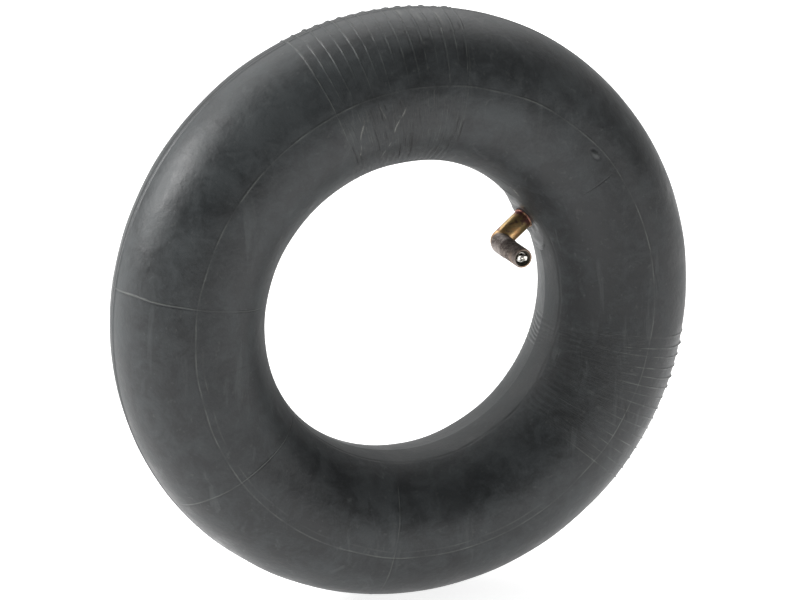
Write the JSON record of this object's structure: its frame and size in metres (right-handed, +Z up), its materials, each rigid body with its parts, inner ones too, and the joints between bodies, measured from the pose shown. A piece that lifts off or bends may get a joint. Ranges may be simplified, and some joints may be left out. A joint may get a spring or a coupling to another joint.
{
  "type": "inner tube",
  "caption": "Butyl inner tube for a small pneumatic wheel, with a bent metal valve whose core screws out and whose pin presses in.",
  "frame": {"origin": "centre of the ring, where the rim that carries it has its axle line", "axes": "+Y along the ring's axis, from the front face with the valve's mouth to the back; +Z up; the valve stands 31.4 degrees from +X towards +Z"},
  "size_m": [0.2364, 0.0594, 0.2364],
  "materials": {
    "butyl_rubber": "satin moulded butyl rubber, lightly dusted",
    "base_rubber": "satin moulded rubber",
    "stem_brass": "tarnished brass with olive and purple patches",
    "core_nickel": "bright nickel plate on brass",
    "core_brass": "turned brass",
    "seal_plastic": "smooth sealing plastic",
    "spring_steel": "drawn spring wire",
    "seal_rubber": "matte sealing rubber"
  },
  "bodies": {
    "tube": {"tube_body": "butyl_rubber", "valve_pad": "base_rubber", "valve_stem": "stem_brass"},
    "core": {"core_barrel": "core_brass", "core_gasket": "seal_plastic", "core_spring": "spring_steel"},
    "plug": {"core_plug": "core_nickel"},
    "pin": {"core_pin": "core_nickel", "core_cup": "core_brass", "core_cup_seal": "seal_rubber"}
  },
  "joints": [
    {"name": "core_travel", "type": "slide", "parent": "tube", "child": "core", "axis": [0, -1, 0], "range_m": [0, 0.00688]},
    {"name": "plug_spin", "type": "hinge", "parent": "core", "child": "plug", "pos_m": [0.03778, -0.02964, 0.02306], "axis": [0, -1, 0], "range_deg": [0, 3510]},
    {"name": "pin_press", "type": "slide", "parent": "core", "child": "pin", "axis": [0, 1, 0], "range_m": [0, 0.0015], "stiffness_N_per_m": 1500, "springref_m": -0.0015, "deforming": ["core_spring"]}
  ],
  "couplings": [
    {"joint": "plug_spin", "follows": "core_travel", "rad_per_m": 8904.7}
  ]
}
